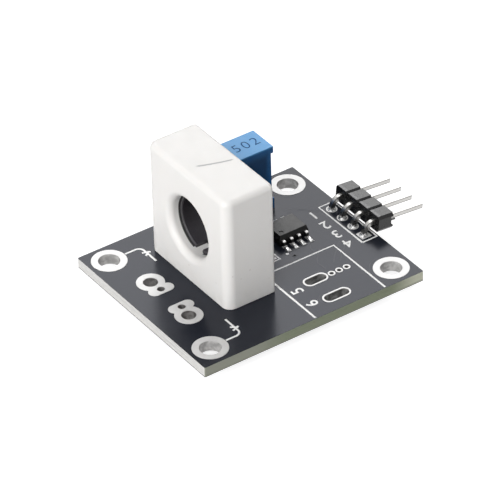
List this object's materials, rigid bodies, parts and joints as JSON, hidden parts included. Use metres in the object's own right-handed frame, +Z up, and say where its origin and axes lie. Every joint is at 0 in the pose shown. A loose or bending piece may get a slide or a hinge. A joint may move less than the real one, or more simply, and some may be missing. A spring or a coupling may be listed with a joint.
{
  "type": "hall effect current sensor",
  "caption": "Board-mounted Hall effect current sensor: a white block with a conductor hole, a screw-adjusted trimmer, a chip and a right-angle pin header.",
  "frame": {"origin": "centre of the four mounting holes on the board's underside", "axes": "+X towards the pin header, +Y towards the trimmer, +Z up through the components"},
  "size_m": [0.0449, 0.031, 0.0209],
  "materials": {
    "board": "glossy dark grey solder mask over glass laminate",
    "plating": "bright tin plating on copper",
    "solder": "tin solder",
    "housing": "moulded white plastic, satin",
    "ferrite": "dark coated core",
    "potting": "cast resin",
    "package": "moulded black epoxy",
    "leads": "tinned leads",
    "trimmer_blue": "moulded blue plastic",
    "resin": "cast resin",
    "brass": "machined brass",
    "seal": "rubber ring",
    "rotor": "moulded nylon",
    "ceramic": "alumina plate",
    "header_plastic": "moulded black plastic",
    "resistor": "black glaze",
    "capacitor": "brown ceramic"
  },
  "bodies": {
    "module": {"circuit_board": "board", "mounting_ring_1": "plating", "mounting_ring_2": "plating", "mounting_ring_3": "plating", "mounting_ring_4": "plating", "lead_pad_1": "plating", "lead_pad_2": "plating", "slot_ring_1": "plating", "slot_ring_2": "plating", "spare_hole_rings": "plating", "hall_pads": "plating", "trimmer_pads": "plating", "header_pads": "plating", "chip_pads": "plating", "small_part_pads": "plating", "hall_solder": "solder", "trimmer_solder": "solder", "header_solder": "solder", "small_part_caps": "solder", "sensor_housing": "housing", "toroid_core": "ferrite", "sensor_potting": "potting", "hall_device": "package", "chip_body": "package", "hall_lead_1": "leads", "hall_lead_2": "leads", "hall_lead_3": "leads", "chip_lead_1": "leads", "chip_lead_2": "leads", "chip_lead_3": "leads", "chip_lead_4": "leads", "chip_lead_5": "leads", "chip_lead_6": "leads", "chip_lead_7": "leads", "chip_lead_8": "leads", "trimmer_pin_1": "leads", "trimmer_pin_2": "leads", "trimmer_pin_3": "leads", "header_pin_1": "leads", "header_pin_2": "leads", "header_pin_3": "leads", "header_pin_4": "leads", "trimmer_case": "trimmer_blue", "trimmer_base": "resin", "resistive_plate": "ceramic", "header_block": "header_plastic", "resistor_1": "resistor", "resistor_2": "resistor", "capacitor": "capacitor"},
    "adjuster": {"adjusting_screw": "brass", "screw_seal": "seal"},
    "wiper_rotor": {"trimmer_rotor": "rotor", "trimmer_wiper": "brass"}
  },
  "joints": [
    {"name": "screw_turn", "type": "hinge", "parent": "module", "child": "adjuster", "pos_m": [0.00217, 0.01025, 0.0115], "axis": [0, 0, 1], "range_deg": [-4500, 4500]},
    {"name": "rotor_turn", "type": "hinge", "parent": "module", "child": "wiper_rotor", "pos_m": [0.00604, 0.01025, 0.00711], "axis": [0, 1, 0], "range_deg": [-137, 137]}
  ],
  "couplings": [
    {"joint": "rotor_turn", "follows": "screw_turn", "ratio": 0.030303}
  ]
}
